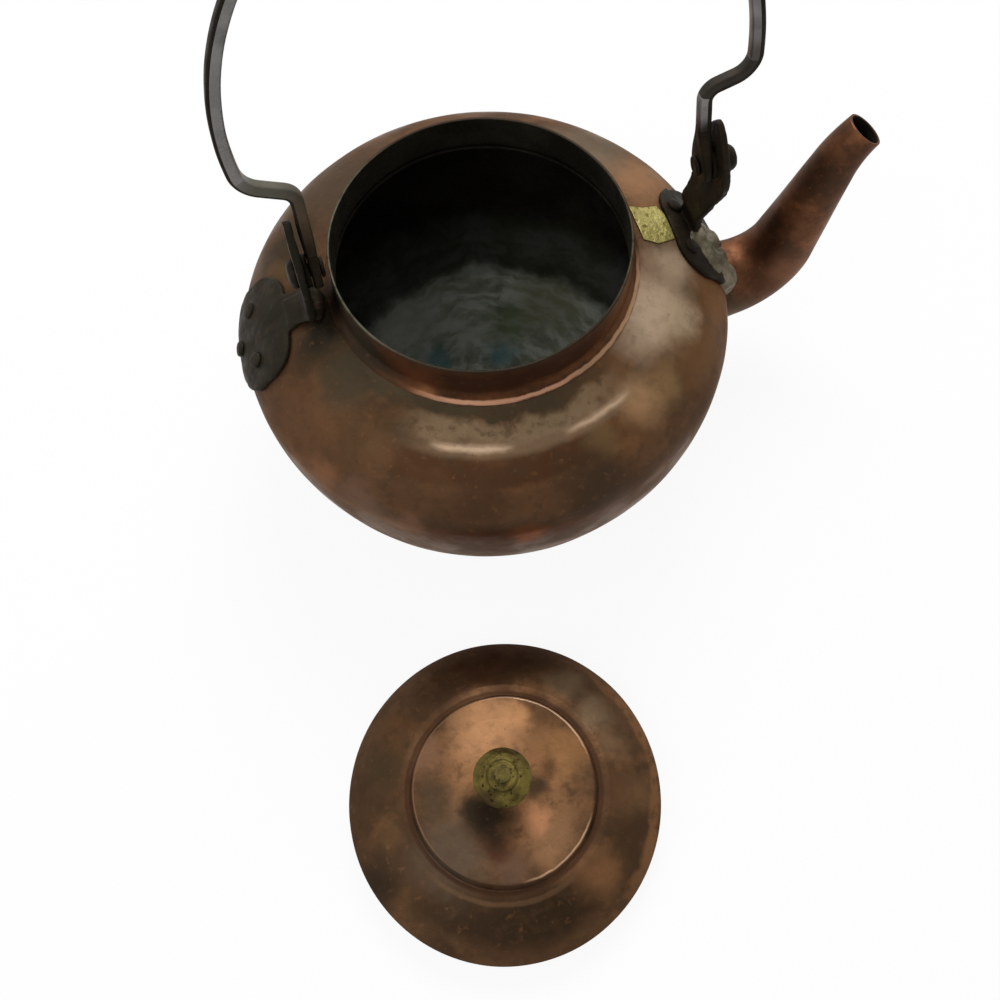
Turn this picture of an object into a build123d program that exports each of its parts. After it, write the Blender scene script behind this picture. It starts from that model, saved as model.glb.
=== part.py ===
"""Old copper tea kettle with an iron bail and a loose lid, in millimetres.

+Z is up and the origin is the centre of the base, on the surface that the kettle stands on.
+X points to the spout. The lid is off and stands on its bezel in front of the kettle.
"""
import os
from math import asin, atan, cos, radians, sin, tan

from build123d import *

# Belly, raised from sheet copper
SHEET = 1.1
BASE_R = 70.0
BASE_CORNER = 16.0
BELLY_R = 112.0
BELLY_Z = 81.0
LOWER_ARC = 116.0
HAUNCH = ((109.4, 91.0), (99.0, 104.3))
CREASE = (86.5, 112.4)
CREASE_SLOPE = 27.0
SHOULDER_SLOPE = 23.0
PAN_HEIGHT = 11.0
PAN_LAP = 4.0

# Neck collar and mouth
RIM_Z = 142.2
RIM_R = 65.6
FLARE = 9.0
FOOT_R = 71.0

# Spout, in the plane of the bail
SPOUT_Z = 50.6
SPOUT_START = 88.0
SPOUT_LEVEL = 35.0
SPOUT_BEND = 28.0
SPOUT_RISE = 73.0
SPOUT_STRAIGHT = 56.0
SPOUT_LIP_BEND = 60.0
SPOUT_LIP = 50.0
SPOUT_ROOT_R = 22.0
SPOUT_TIP_R = 9.0
SPOUT_TAPER = 1.15
SPOUT_RINGS = 9

# Bail, forged from bar, standing ten degrees back on its rivets
PIVOT_Z = 152.5
BAIL_X = 14.3
LEG_SPAN = 85.5
BOW_SPAN = 107.0
BAIL_RISE = 190.0
CRANK_BEND = 7.0
CRANK_DROP = 9.0
BAR_THICK = 6.0
BAR_WIDE = 5.4
BAR_EDGE = 1.4
PALM_THICK = 4.4
PALM_R = 8.5
PALM_TOP = 24.0
PALM_NECK_Z = 5.0
PALM_NECK_WIDE = 13.6
PALM_EDGE = 0.8
PALM_ROUNDED = 0.6
BAIL_LEAN = 10.0

# The bail's halves were bent by eye and differ: -1 is the left one, and 1 the one by the spout.
# Height of the bow's widest point over the pivots, and the radius of the long arc through it
BOW = {-1: (76.0, 123.0), 1: (60.0, 147.0)}
# Height of the crank's inner bend, and how far the bow has turned in where the crank meets it
CRANK = {-1: (44.0, 6.1), 1: (41.0, 1.8)}

# Lugs, with the washers and rivets that the bail turns on
PLATE = 2.2
EAR = 3.4
LUG_R = 97.0
LUG_Z = 104.0
LUG_TILT = 48.6
SHIELD_HALF = 25.8
SHIELD_TOP = 12.0
SHIELD_FOOT = -28.0
PIVOT_R = 3.0
PIVOT_HEAD_R = 6.4
PIVOT_HEAD = 3.6
PIVOT_CLENCH_R = 4.6
PIVOT_CLENCH = 1.4
RUNNING = 0.06
FACE_GAP = 0.2
WASHER = 2.2
WASHER_R = 7.4
STUD_R = 1.9
STUD_HEAD_R = 3.6
STUD_HEAD = 1.9
STUD_CLENCH_R = 2.8
STUD_CLENCH = 1.0

# Along the pivot axis, out from the bail's middle
RIVET_IN = LEG_SPAN - PALM_THICK / 2 - FACE_GAP
WASHER_IN = LEG_SPAN + PALM_THICK / 2 + FACE_GAP
EAR_IN = WASHER_IN + WASHER
EAR_OUT = EAR_IN + EAR

# The two lugs were fitted by eye and differ: -1 is the left one, and 1 the one over the spout.
# Way that each faces, in degrees about the kettle's axis
TURNS = {-1: 174.8, 1: -1.0}
# Small rivets, as a turn from the lug's middle and a share of the way up the haunch
STUDS = {-1: [(-6.9, 0.46), (7.1, 0.46), (0.0, 0.2)], 1: [(-7.0, 0.8), (7.0, 0.8), (0.0, 0.2)]}
# Ear's root from the side, as front and back edges and a depth under the pivot
EAR_ROOT = {-1: (0.5, 13.5, -38.0), 1: (-5.0, 12.5, -50.0)}
# Ear from the side, as front and back points up to its top, which stands higher on the left
EAR_SIDES = ((-12.0, -14.0), (-11.0, 10.0)), ((13.5, 8.0), (13.5, -16.0))
EAR_TOP = {-1: (3.0, 31.0), 1: (3.0, 24.0)}
# Ear's root from the front, as two points that its strip starts through, and the bend above them
EAR_FOOT = {-1: [(-90.0, 112.0), (-78.1, 117.6)], 1: [(98.0, 100.0), (101.0, 116.0)]}
EAR_BEND = {-1: 5.0, 1: 14.0}

# Right half of the shield that both plates are cut to, from its top edge round to its foot
SHIELD_SHOULDER = ((10.5, SHIELD_TOP), (20.6, 8.4), (SHIELD_HALF, -1.0))
SHIELD_SIDE = ((SHIELD_HALF - 0.3, -13.0), (18.5, -23.0), (0.0, SHIELD_FOOT))
# Strip that joins the left plate to its ear
LEFT_NECK = ((-10.3, 10), (-7.6, 21), (-6.4, 26.5), (6.4, 26.5), (7.6, 21), (10.3, 10))

# Brass repair on the shoulder, cut by hand and none too square, seen from above
PATCH = 0.7
PATCH_CORNERS = [(72.6, -8), (79, -10.5), (88, -8), (89.5, 3), (86, 11), (79, 10), (72.4, 11)]

# Beads of braze and solder
BRAZE_WIDE = 2.6
BRAZE_DEEP = 3.2
SOLDER_AT = (-74.5, 5.5, 118.6)
SOLDER_SIZE = (4.2, 9.5, 3.4)

# Lid, standing on its bezel
LID_X = -53.4
LID_Y = -195.9
LID_R = 67.8
LID_EDGE_Z = 11.3
LID_SWELL = 1.3
MOAT_R = 45.0
MOAT_Z = 23.6
CROWN_R = 38.7
CROWN_Z = 28.0
CROWN_DISH = 0.5
MOUTH_PLAY = 0.7
STEP_RUN = 1.6
STEP_FILLET = 0.9
CROWN_RIM = 9.0

# Knob, as radii and as heights over its foot or its cap's upper edge
KNOB_R = 12.4
KNOB_CAP_Z = 47.2
KNOB_TOP_Z = 55.4
KNOB_FOOT_R = 7.6
KNOB_FOOT = 1.6
KNOB_WAIST_R = 4.4
KNOB_WAIST = 7.0
KNOB_RING_R = 6.6
KNOB_RING = 2.3
KNOB_BUTTON_R = 4.6
KNOB_BUTTON = 4.1
TANG_R = 2.3
TANG_DEEP = 8.0
TANG_HEAD_R = 4.2
TANG_HEAD = 1.8
TANG_WASHER_R = 7.0
TANG_WASHER = 1.2


def sheet_section(face):
    """Stand a sketch that was drawn as (radius, height) up in the XZ plane."""
    return Plane.XZ * face


def spin(face):
    return revolve(sheet_section(face), Axis.Z, 360)


def haunch_curve():
    """The shoulder's outline, from the widest point of the belly up to the crease."""
    crease_dir = (-cos(radians(CREASE_SLOPE)), sin(radians(CREASE_SLOPE)))
    return Spline((BELLY_R, BELLY_Z), *HAUNCH, CREASE, tangents=[(0, 1), crease_dir])


def moved_out(curve, point, growth):
    """A point of an outline that runs upwards, moved by growth along the outline's normal."""
    heading = curve % curve.param_at_point(point)
    return (point[0] + growth * heading.Y, point[1] - growth * heading.X)


def belly_face(growth=0.0):
    """Half of the belly's section, closed on the axis, with every surface moved out by growth."""
    haunch = haunch_curve()
    knots = [moved_out(haunch, p, growth) for p in ((BELLY_R, BELLY_Z), *HAUNCH, CREASE)]
    crease_dir = haunch % 1
    slope = radians(SHOULDER_SLOPE)
    apex_z = knots[-1][1] + knots[-1][0] * tan(slope)
    low_angle = asin((BELLY_Z - BASE_CORNER) / LOWER_ARC)
    arc_r = LOWER_ARC + growth
    centre_r = BELLY_R - LOWER_ARC
    low = (centre_r + arc_r * cos(low_angle), BELLY_Z - arc_r * sin(low_angle))
    outline = [
        Line((0, -growth), (BASE_R, -growth)),
        Spline((BASE_R, -growth), low, tangents=[(1, 0), (sin(low_angle), cos(low_angle))]),
        RadiusArc(low, knots[0], -arc_r),
        Spline(*knots, tangents=[(0, 1), crease_dir]),
        Line(knots[-1], (0, apex_z)),
        Line((0, apex_z), (0, -growth)),
    ]
    return make_face(outline)


BELLY = belly_face()
BELLY_IN = belly_face(-SHEET)
BELLY_LAP = belly_face(-2 * SHEET)


def band(low, high):
    """A level slab of the half section's plane."""
    return Pos(100, (low + high) / 2) * Rectangle(200, high - low)


def belly_shell():
    """Belly and shoulder; the lower edge is drawn in, to sit inside the base pan."""
    wall = (BELLY - BELLY_IN) & band(PAN_HEIGHT, 200)
    lap = (BELLY_IN - BELLY_LAP) & band(PAN_HEIGHT - PAN_LAP, PAN_HEIGHT + 2 * SHEET)
    neck_hole = Rectangle(2 * (RIM_R - SHEET), 400)
    shell = spin(wall + lap - neck_hole) - spout_bore()
    return shell - Compound(studs(-1, False) + studs(1, False))


def base_pan():
    """The flat base, with its edge turned up round the belly."""
    return spin((BELLY - BELLY_IN) & band(-1, PAN_HEIGHT))


def neck_collar():
    """The short neck, a strip whose foot is flared out and brazed onto the shoulder."""
    slope = radians(SHOULDER_SLOPE)
    mid_r = RIM_R - SHEET / 2
    shoulder_z = CREASE[1] + (CREASE[0] - FOOT_R) * tan(slope)
    foot = (FOOT_R, shoulder_z + SHEET / 2 / cos(slope))
    turn = radians(90) - slope
    flare_start = foot[1] + (FOOT_R - mid_r - FLARE * (1 - cos(turn))) * tan(slope) + FLARE * sin(turn)
    bend_end = (mid_r + FLARE * (1 - cos(turn)), flare_start - FLARE * sin(turn))
    path = [
        Line((mid_r, RIM_Z), (mid_r, flare_start)),
        RadiusArc((mid_r, flare_start), bend_end, -FLARE),
        Line(bend_end, foot),
    ]
    return spin(trace(Curve(path), SHEET)) - spin(BELLY)


def skin(thick):
    """A layer of this thickness all over the outside of the belly."""
    return spin(belly_face(thick)) - spin(BELLY)


def brass_patch():
    """A brass repair plate on the shoulder, which butts against the right lug's plate."""
    outline = make_face(Polyline(*PATCH_CORNERS, close=True))
    return (skin(PATCH) & extrude(Pos(0, 0, 100) * outline, 40)) - lug(1)


def spout_path():
    """Level out of the belly, round a bend, steeply up, and out a little to the lip."""
    rise = radians(SPOUT_RISE)
    lip = radians(SPOUT_LIP)
    start = (SPOUT_START, SPOUT_Z)
    bend = (SPOUT_START + SPOUT_LEVEL, SPOUT_Z)
    top = (bend[0] + SPOUT_BEND * sin(rise), SPOUT_Z + SPOUT_BEND * (1 - cos(rise)))
    end = (top[0] + SPOUT_STRAIGHT * cos(rise), top[1] + SPOUT_STRAIGHT * sin(rise))
    tip = (
        end[0] + SPOUT_LIP_BEND * (sin(rise) - sin(lip)),
        end[1] + SPOUT_LIP_BEND * (cos(lip) - cos(rise)),
    )
    pieces = [
        Line(start, bend),
        RadiusArc(bend, top, -SPOUT_BEND),
        Line(top, end),
        RadiusArc(end, tip, SPOUT_LIP_BEND),
    ]
    return Plane.XZ * Wire(pieces)


def spout_horn(growth):
    """The tapering horn, its radius changed by growth, lofted through circles along the path."""
    path = spout_path()
    rings = []
    for i in range(SPOUT_RINGS):
        t = i / (SPOUT_RINGS - 1)
        radius = SPOUT_TIP_R + (SPOUT_ROOT_R - SPOUT_TIP_R) * (1 - t) ** SPOUT_TAPER + growth
        rings.append(Plane(path @ t, z_dir=path % t) * Circle(radius))
    return loft(rings)


def spout_bore():
    return spout_horn(-SHEET)


def spout():
    """A hollow gooseneck, cut to the belly's outside."""
    return spout_horn(0) - spout_bore() - spin(BELLY)


def spout_braze():
    """The bead of braze round the spout's root."""
    return (spout_horn(BRAZE_WIDE) - spout_horn(0)) & skin(BRAZE_DEEP)


def bail_half(side):
    """Half of the bail's line, in its own plane, from above the palm to the top.

    The leg is cranked out over the lug, and the bow above it is a basket arch: a long side arc
    that runs into a tighter top arc.
    """
    bow_z, side_arc = BOW[side]
    crank_z, lean = CRANK[side]
    crown = bow_z + side_arc - BAIL_RISE
    offset_x = side_arc - BOW_SPAN
    join = radians(90) - 2 * atan(crown / offset_x)
    top_arc = side_arc - offset_x / cos(join)
    start = radians(lean)

    def on_side(angle):
        return (-offset_x + side_arc * cos(angle), bow_z + side_arc * sin(angle))

    low = on_side(-start)
    corner = (low[0] - CRANK_DROP * sin(start), low[1] - CRANK_DROP * cos(start))
    crank = FilletPolyline((LEG_SPAN, PALM_TOP), (LEG_SPAN, crank_z), corner, low, radius=CRANK_BEND)
    bow = RadiusArc(low, on_side(join), -side_arc)
    top = RadiusArc(on_side(join), (0, BAIL_RISE), -top_arc)
    return Plane.XZ * Curve(crank.edges() + bow.edges() + top.edges())


def palm():
    """The flattened end of a leg, drawn out from the bar, with a hole for the pivot rivet."""
    bar = Plane((LEG_SPAN, 0, PALM_TOP)) * RectangleRounded(BAR_THICK, BAR_WIDE, BAR_EDGE)
    flat = Plane((LEG_SPAN, 0, PALM_NECK_Z)) * RectangleRounded(PALM_THICK, PALM_NECK_WIDE, PALM_EDGE)
    disc = Pos(LEG_SPAN, 0, 0) * Rot(Y=90) * Cylinder(PALM_R, PALM_THICK)
    disc = chamfer(disc.edges(), PALM_ROUNDED)
    hole = Pos(LEG_SPAN, 0, 0) * Rot(Y=90) * Cylinder(PIVOT_R + RUNNING, 2 * PALM_THICK)
    return loft([flat, bar]) + disc - hole


def bail_place():
    return Pos(BAIL_X, 0, PIVOT_Z) * Rot(X=-BAIL_LEAN)


def bail():
    left = mirror(bail_half(-1), Plane.YZ)
    path = Wire(bail_half(1).edges() + left.edges())
    section = Plane((LEG_SPAN, 0, PALM_TOP)) * RectangleRounded(BAR_THICK, BAR_WIDE, BAR_EDGE)
    bar = sweep(section, path)
    end = palm()
    return bail_place() * (bar + end + mirror(end, Plane.YZ))


def lug_plane(turn):
    """Lies flat on the haunch under a lug: x runs round the belly and y runs up its slope."""
    angle = radians(turn)
    tilt = radians(LUG_TILT)
    outward = (cos(tilt) * cos(angle), cos(tilt) * sin(angle), sin(tilt))
    origin = (LUG_R * cos(angle), LUG_R * sin(angle), LUG_Z)
    return Plane(origin, x_dir=(-sin(angle), cos(angle), 0), z_dir=outward)


def shield():
    """The outline that both lugs' plates are cut to: square shoulders and a rounded foot."""
    right = [
        Line((0, SHIELD_TOP), SHIELD_SHOULDER[0]),
        ThreePointArc(*SHIELD_SHOULDER),
        Line(SHIELD_SHOULDER[-1], SHIELD_SIDE[0]),
        ThreePointArc(*SHIELD_SIDE),
    ]
    left = mirror(Curve(right), Plane.YZ)
    return make_face(right + left.edges())


def plate(turn, outline):
    """Sheet iron dressed down over the haunch, cut to an outline."""
    return skin(PLATE) & extrude(lug_plane(turn) * outline, 30, both=True)


def ear(side):
    """An upright leaf that takes the pivot rivet, cut from a strip that is bent at its root."""
    out = BAIL_X + side * (EAR_IN + EAR / 2)
    upright = [(out, PIVOT_Z - 20), (out, PIVOT_Z + 30)]
    strip = trace(FilletPolyline(*EAR_FOOT[side], *upright, radius=EAR_BEND[side]), EAR)
    near, far, low = EAR_ROOT[side]
    front, back = EAR_SIDES
    knots = [(near, low), *front, EAR_TOP[side], *back, (far, low)]
    leaf = make_face(Curve([Spline(*knots), Line(knots[-1], knots[0])]))
    leaf = Pos(0, 0, PIVOT_Z) * (Plane.YZ * leaf)
    blank = extrude(Plane.XZ * strip, 30, both=True)
    return (blank & extrude(leaf, 150, both=True)) - spin(BELLY)


def pivot_axis(radius, side, start, end):
    """A bar on the bail's axis, from start to end, both measured out from the bail's middle."""
    centre = BAIL_X + side * (start + end) / 2
    return Pos(centre, 0, PIVOT_Z) * Rot(Y=90) * Cylinder(radius, abs(end - start))


def stud_plane(turn, along):
    """On the haunch, at a share of the way from its widest point to the crease."""
    haunch = haunch_curve()
    spot = haunch @ along
    heading = haunch % along
    angle = radians(turn)
    origin = (spot.X * cos(angle), spot.X * sin(angle), spot.Y)
    return Plane(origin, z_dir=(heading.Y * cos(angle), heading.Y * sin(angle), -heading.X))


def studs(side, head):
    """The small rivets that hold a lug's plate, as plain shanks or with both heads on."""
    made = []
    for turn, along in STUDS[side]:
        place = stud_plane(TURNS[side] + turn, along)
        shank = extrude(place * Circle(STUD_R), 2 * PLATE, both=True)
        if head:
            dome = Pos(0, 0, PLATE) * dome_cap(STUD_HEAD_R, STUD_HEAD, 0.6)
            clench = Pos(0, 0, -SHEET) * Rot(X=180) * dome_cap(STUD_CLENCH_R, STUD_CLENCH, 0.4)
            trimmed = extrude(place * Circle(STUD_R), PLATE) + extrude(place * Circle(STUD_R), -SHEET)
            shank = trimmed + place.location * dome + place.location * clench
        made.append(shank)
    return made


def dome_cap(radius, height, sunk):
    """A rivet's domed head, with a skirt that is sunk below its seat."""
    profile = [
        Line((0, -sunk), (radius, -sunk)),
        Line((radius, -sunk), (radius, 0.3)),
        Spline((radius, 0.3), (0, height), tangents=[(0, 1), (-1, 0)]),
        Line((0, height), (0, -sunk)),
    ]
    return spin(make_face(profile))


def lug(side):
    """A lug, forged in one: a plate for the haunch and an ear that stands up from it."""
    outline = shield()
    if side < 0:
        outline += make_face(Polyline(*LEFT_NECK, close=True))
    body = plate(TURNS[side], outline) + ear(side)
    body -= Compound(studs(side, False))
    return body - pivot_axis(PIVOT_R, side, 0, EAR_OUT + 5)


def lug_studs(side):
    """The small rivets of one lug, each in one piece through its plate and the belly's wall."""
    seat = lug(side)
    wall = belly_shell()
    return Compound([stud - seat - wall for stud in studs(side, True)])


def pivot_washer(side):
    ring = pivot_axis(WASHER_R, side, WASHER_IN, EAR_IN)
    return ring - pivot_axis(PIVOT_R, side, WASHER_IN - 1, EAR_IN + 1)


def pivot_rivet(side):
    """The rivet is tight in the ear; the bail's palm turns on it."""
    shank = pivot_axis(PIVOT_R, side, RIVET_IN, EAR_OUT)
    place_out = Pos(BAIL_X + side * EAR_OUT, 0, PIVOT_Z) * Rot(Y=side * 90)
    place_in = Pos(BAIL_X + side * RIVET_IN, 0, PIVOT_Z) * Rot(Y=-side * 90)
    outer_head = place_out * dome_cap(PIVOT_HEAD_R, PIVOT_HEAD, 0)
    inner_head = place_in * dome_cap(PIVOT_CLENCH_R, PIVOT_CLENCH, 0)
    return shank + outer_head + inner_head


def lug_solder():
    """A lump of old solder between the left ear's root and the neck."""
    lump = Pos(*SOLDER_AT) * scale(Sphere(1), by=SOLDER_SIZE)
    return lump - spin(BELLY) - collar_envelope() - lug(-1)


def collar_envelope():
    return neck_collar() + Cylinder(RIM_R - SHEET / 2, 400)


def lid_face(inside):
    """Half of the lid's section, closed on the axis, for the outside or the inside of the sheet."""
    drop = SHEET if inside else 0.0
    chord_mid = ((LID_R + MOAT_R) / 2, (LID_EDGE_Z + MOAT_Z) / 2)
    swell = (chord_mid[0] + LID_SWELL * 0.5, chord_mid[1] + LID_SWELL - drop)
    edge = (LID_R, LID_EDGE_Z - drop)
    moat = (MOAT_R, MOAT_Z - drop)
    step = FilletPolyline(
        moat,
        (CROWN_R + STEP_RUN - drop, MOAT_Z - 0.3 - drop),
        (CROWN_R - drop, CROWN_Z - drop),
        (CROWN_R - CROWN_RIM, CROWN_Z - CROWN_DISH - drop),
        (0, CROWN_Z - CROWN_DISH - drop),
        radius=STEP_FILLET)
    outline = [
        Line((0, -50), (LID_R, -50)),
        Line((LID_R, -50), edge),
        ThreePointArc(edge, swell, moat),
        step,
        Line((0, CROWN_Z - CROWN_DISH - drop), (0, -50)),
    ]
    return make_face(Curve(outline))


def at_lid(solid):
    return Pos(LID_X, LID_Y, 0) * solid


def tang_hole():
    return Cylinder(TANG_R, 100)


def lid_cover():
    return at_lid(spin(lid_face(False) - lid_face(True)) - tang_hole())


def lid_bezel():
    """The ring that drops into the neck; the lid stands on it here."""
    outer = RIM_R - SHEET - MOUTH_PLAY
    ring = Cylinder(outer, 60, align=(Align.CENTER, Align.CENTER, Align.MIN))
    ring -= Cylinder(outer - SHEET, 200)
    return at_lid(ring & spin(lid_face(True)))


def knob():
    """Cast and turned brass: a foot, a waist, a broad cap and a button on top."""
    foot_z = CROWN_Z - CROWN_DISH
    foot = (KNOB_FOOT_R, foot_z + KNOB_FOOT)
    under_cap = (KNOB_R - 0.9, KNOB_CAP_Z - 2.2)
    cap = (KNOB_R - 0.7, KNOB_CAP_Z)
    ring = (KNOB_RING_R, KNOB_CAP_Z + KNOB_RING)
    button = (KNOB_BUTTON_R, KNOB_CAP_Z + KNOB_BUTTON)
    groove = (KNOB_BUTTON_R - 1.9, button[1] + 0.2)
    profile = [
        Line((0, foot_z), (KNOB_FOOT_R, foot_z)),
        Line((KNOB_FOOT_R, foot_z), foot),
        ThreePointArc(foot, (KNOB_WAIST_R, foot_z + KNOB_WAIST), under_cap),
        ThreePointArc(under_cap, (KNOB_R, KNOB_CAP_Z - 1), cap),
        ThreePointArc(cap, (9.2, KNOB_CAP_Z + 1.5), ring),
        ThreePointArc(ring, (KNOB_RING_R - 0.6, ring[1] + 1.5), button),
        Line(button, groove),
        Spline(groove, (groove[0] + 0.8, KNOB_TOP_Z - 2.2), (0, KNOB_TOP_Z), tangents=[(1, 1), (-1, 0)]),
        Line((0, KNOB_TOP_Z), (0, foot_z)),
    ]
    return at_lid(spin(make_face(profile)) - Pos(0, 0, foot_z) * Cylinder(TANG_R, 2 * TANG_DEEP))


def knob_tang():
    """The rivet that holds the knob, clenched over a washer under the crown."""
    under = CROWN_Z - CROWN_DISH - SHEET - TANG_WASHER
    top = CROWN_Z - CROWN_DISH + TANG_DEEP
    shank = Pos(0, 0, (under + top) / 2) * Cylinder(TANG_R, top - under)
    head = Pos(0, 0, under) * Rot(X=180) * dome_cap(TANG_HEAD_R, TANG_HEAD, 0)
    return at_lid(shank + head)


def tang_washer():
    middle = CROWN_Z - CROWN_DISH - SHEET - TANG_WASHER / 2
    ring = Cylinder(TANG_WASHER_R, TANG_WASHER) - Cylinder(TANG_R, 2 * TANG_WASHER)
    return at_lid(Pos(0, 0, middle) * ring)


PARTS = {
    "belly_shell": belly_shell,
    "base_pan": base_pan,
    "neck_collar": neck_collar,
    "brass_patch": brass_patch,
    "spout": spout,
    "spout_braze": spout_braze,
    "left_lug": lambda: lug(-1),
    "right_lug": lambda: lug(1),
    "left_lug_rivets": lambda: lug_studs(-1),
    "right_lug_rivets": lambda: lug_studs(1),
    "left_lug_solder": lug_solder,
    "left_pivot_rivet": lambda: pivot_rivet(-1),
    "right_pivot_rivet": lambda: pivot_rivet(1),
    "left_pivot_washer": lambda: pivot_washer(-1),
    "right_pivot_washer": lambda: pivot_washer(1),
    "bail": bail,
    "lid_cover": lid_cover,
    "lid_bezel": lid_bezel,
    "knob": knob,
    "knob_tang": knob_tang,
    "tang_washer": tang_washer,
}

os.makedirs("parts", exist_ok=True)
for name, make in PARTS.items():
    export_step(make(), f"parts/{name}.step")
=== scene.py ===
from math import asin, atan, cos, pi, radians, sin, sqrt, tan

import bmesh
import bpy
import numpy as np
from mathutils import Matrix, Vector, noise


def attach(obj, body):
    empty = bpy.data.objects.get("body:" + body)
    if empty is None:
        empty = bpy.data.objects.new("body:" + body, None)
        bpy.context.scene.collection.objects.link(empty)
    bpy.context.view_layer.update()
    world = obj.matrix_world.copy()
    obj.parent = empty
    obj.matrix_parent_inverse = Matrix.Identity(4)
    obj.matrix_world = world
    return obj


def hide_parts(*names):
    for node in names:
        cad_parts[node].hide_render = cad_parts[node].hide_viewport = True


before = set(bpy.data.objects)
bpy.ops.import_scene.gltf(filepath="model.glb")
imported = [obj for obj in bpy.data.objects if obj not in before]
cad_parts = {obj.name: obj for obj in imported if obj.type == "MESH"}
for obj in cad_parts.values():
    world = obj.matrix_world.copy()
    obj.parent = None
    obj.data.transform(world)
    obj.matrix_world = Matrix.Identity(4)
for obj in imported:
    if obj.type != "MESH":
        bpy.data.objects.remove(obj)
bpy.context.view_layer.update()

MM = 0.001

# Camera: where it stands in metres, the way it looks in degrees, and its lens
CAMERA_AT = (-0.0779, -0.3270, 0.6370)
CAMERA_TURN = 14.5
CAMERA_DIP = 59.3
CAMERA_ROLL = -3.1
LENS = 50.4
SENSOR = 36.0
SHIFT_Y = -0.178

# Floor, room and lamps: sizes and places in metres, and how white the floor shows
FLOOR_HALF = 3.0
FLOOR_DROP = 0.0002
FLOOR_WHITE = 0.92
ROOM_LIGHT = 0.35
LAMPS_AIM = (0, -0.05, 0.05)

# Sheet metal and the turned forms, in millimetres as radius and height
SHEET = 1.1
BASE_R = 70.0
BASE_CORNER = 16.0
PAN_HEIGHT = 11.0
SEAM_DEEP = 0.4
SEAM_HALF = 0.6
BELLY_R = 111.7
BELLY_Z = 81.0
LOWER_ARC = 116.0
HAUNCH = [(111.7, 81.0), (109.1, 91.0), (99.0, 104.3), (86.5, 112.4)]
CREASE_SLOPE = 27.0
SHOULDER_SLOPE = 23.0
RIM_Z = 142.0
RIM_R = 65.6
FLARE = 6.2
FOOT_R = 69.4

# Spout. Its skin lies a little inside the solid's, and starts at a share of the spout's length
SPOUT_Z = 50.6
SPOUT_START = 88.0
SPOUT_LEVEL = 35.0
SPOUT_BEND = 28.0
SPOUT_RISE = 73.0
SPOUT_STRAIGHT = 56.0
SPOUT_LIP_BEND = 60.0
SPOUT_LIP = 50.0
SPOUT_ROOT_R = 22.0
SPOUT_TIP_R = 9.0
SPOUT_TAPER = 1.15
SPOUT_SLACK = 0.1
SPOUT_SEEN_FROM = 0.09
SPOUT_AROUND = 96

# Bail
PIVOT_Z = 152.5
BAIL_X = 14.3
LEG_SPAN = 85.5
BOW_SPAN = 107.0
BAIL_RISE = 190.0
CRANK_BEND = 7.0
BOW_BEND = {-1: 14.0, 1: 11.0}
CRANK_DROP = 9.0
# Its halves differ, -1 the left one: the bow's widest height and side arc, the crank's height and lean
BOW = {-1: (76.0, 123.0), 1: (60.0, 147.0)}
CRANK = {-1: (44.0, 6.1), 1: (41.0, 1.8)}
BAR_HALF_THICK = 2.9
BAR_HALF_WIDE = 2.6
BAR_SQUARENESS = 0.42
BAR_AROUND = 32
PALM_HALF_THICK = 2.08
PALM_R = 8.4
PALM_TOP = 24.0
PALM_END_WIDE = 0.4
BAIL_LEAN = 10.0
# Heights up the bail's line below which, or between which, each of its darker irons shows
# Below BLACK_BELOW the palms are black, painted shade by the ears.
BLACK_BELOW = {-1: 13.0, 1: 21.0}
STAINED_BELOW = 34.0
CRANK_BELOW = {-1: 58.0, 1: 51.0}
CRANK_FROM = 38.0
# Where the dark strip, painted shade along the bail's outer side, starts, in degrees round the bar. The
# left half's is one of the bar's even turns, and the right half's is a turn of its own
STRIP_FROM = {-1: 281.25, 1: 271.3}

# Right ear and its pivot rivet
EAR_SLIM_FROM = 100.0
EAR_SLIM_OVER = 28.0
EAR_SLIM = 0.26
EAR_X = 96.0
EAR_TUCK = 4.0
TUCK_TOP = 143.0
TUCK_FOOT = 112.0
TUCK_OVER = 9.0
OUTER_FACE_X = 106.9
HEAD_STRETCH = 1.8

# Lumps of solder over the foot of the right plate: the ring that the haunch is rounded about,
# how deep a lump's middle lies under the skin, and its radius
HAUNCH_RING = 81.0
BEAD_SUNK = 4.4
BEAD_R = 8.6

# Lid
LID_X = -53.4
LID_Y = -195.9
LID_R = 67.5
LID_EDGE_Z = 11.3
LID_SWELL = 1.3
MOAT_R = 45.0
MOAT_Z = 23.6
CROWN_R = 38.7
CROWN_Z = 27.9
CROWN_DISH = 0.5
CROWN_FLAT_Z = CROWN_Z - CROWN_DISH
CROWN_LIP = 9.0
STEP_LEAN = 1.6
STEP_DIP = 0.3
STEP_BEND = 0.9
KNOB_FOOT_R = 7.6
KNOB_WAIST_R = 4.4
KNOB_R = 12.2
KNOB_CAP_Z = 47.2
KNOB_TOP_Z = 55.2
BEZEL_R = 63.8
BEZEL_RISE = 1.6
# Heights that the lid's stains are laid at, on its crown and elsewhere
CROWN_STAIN_Z = 27
LID_STAIN_Z = 24

# Points round a turned form, rows of the belly's outside that lie under the neck, radius within
# which a point is on the axis, and slack for comparing places and turns
ROUND = 360
UNDER_NECK = 7
AXIS_R = 0.5
TINY = 0.01


# Small tools for meshes

def srgb(red, green, blue):
    """A colour written as it looks on screen, from 0 to 255, as a shader's linear colour."""
    def linear(part):
        part /= 255
        return part / 12.92 if part <= 0.04045 else ((part + 0.055) / 1.055) ** 2.4
    return (linear(red), linear(green), linear(blue), 1.0)


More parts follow.
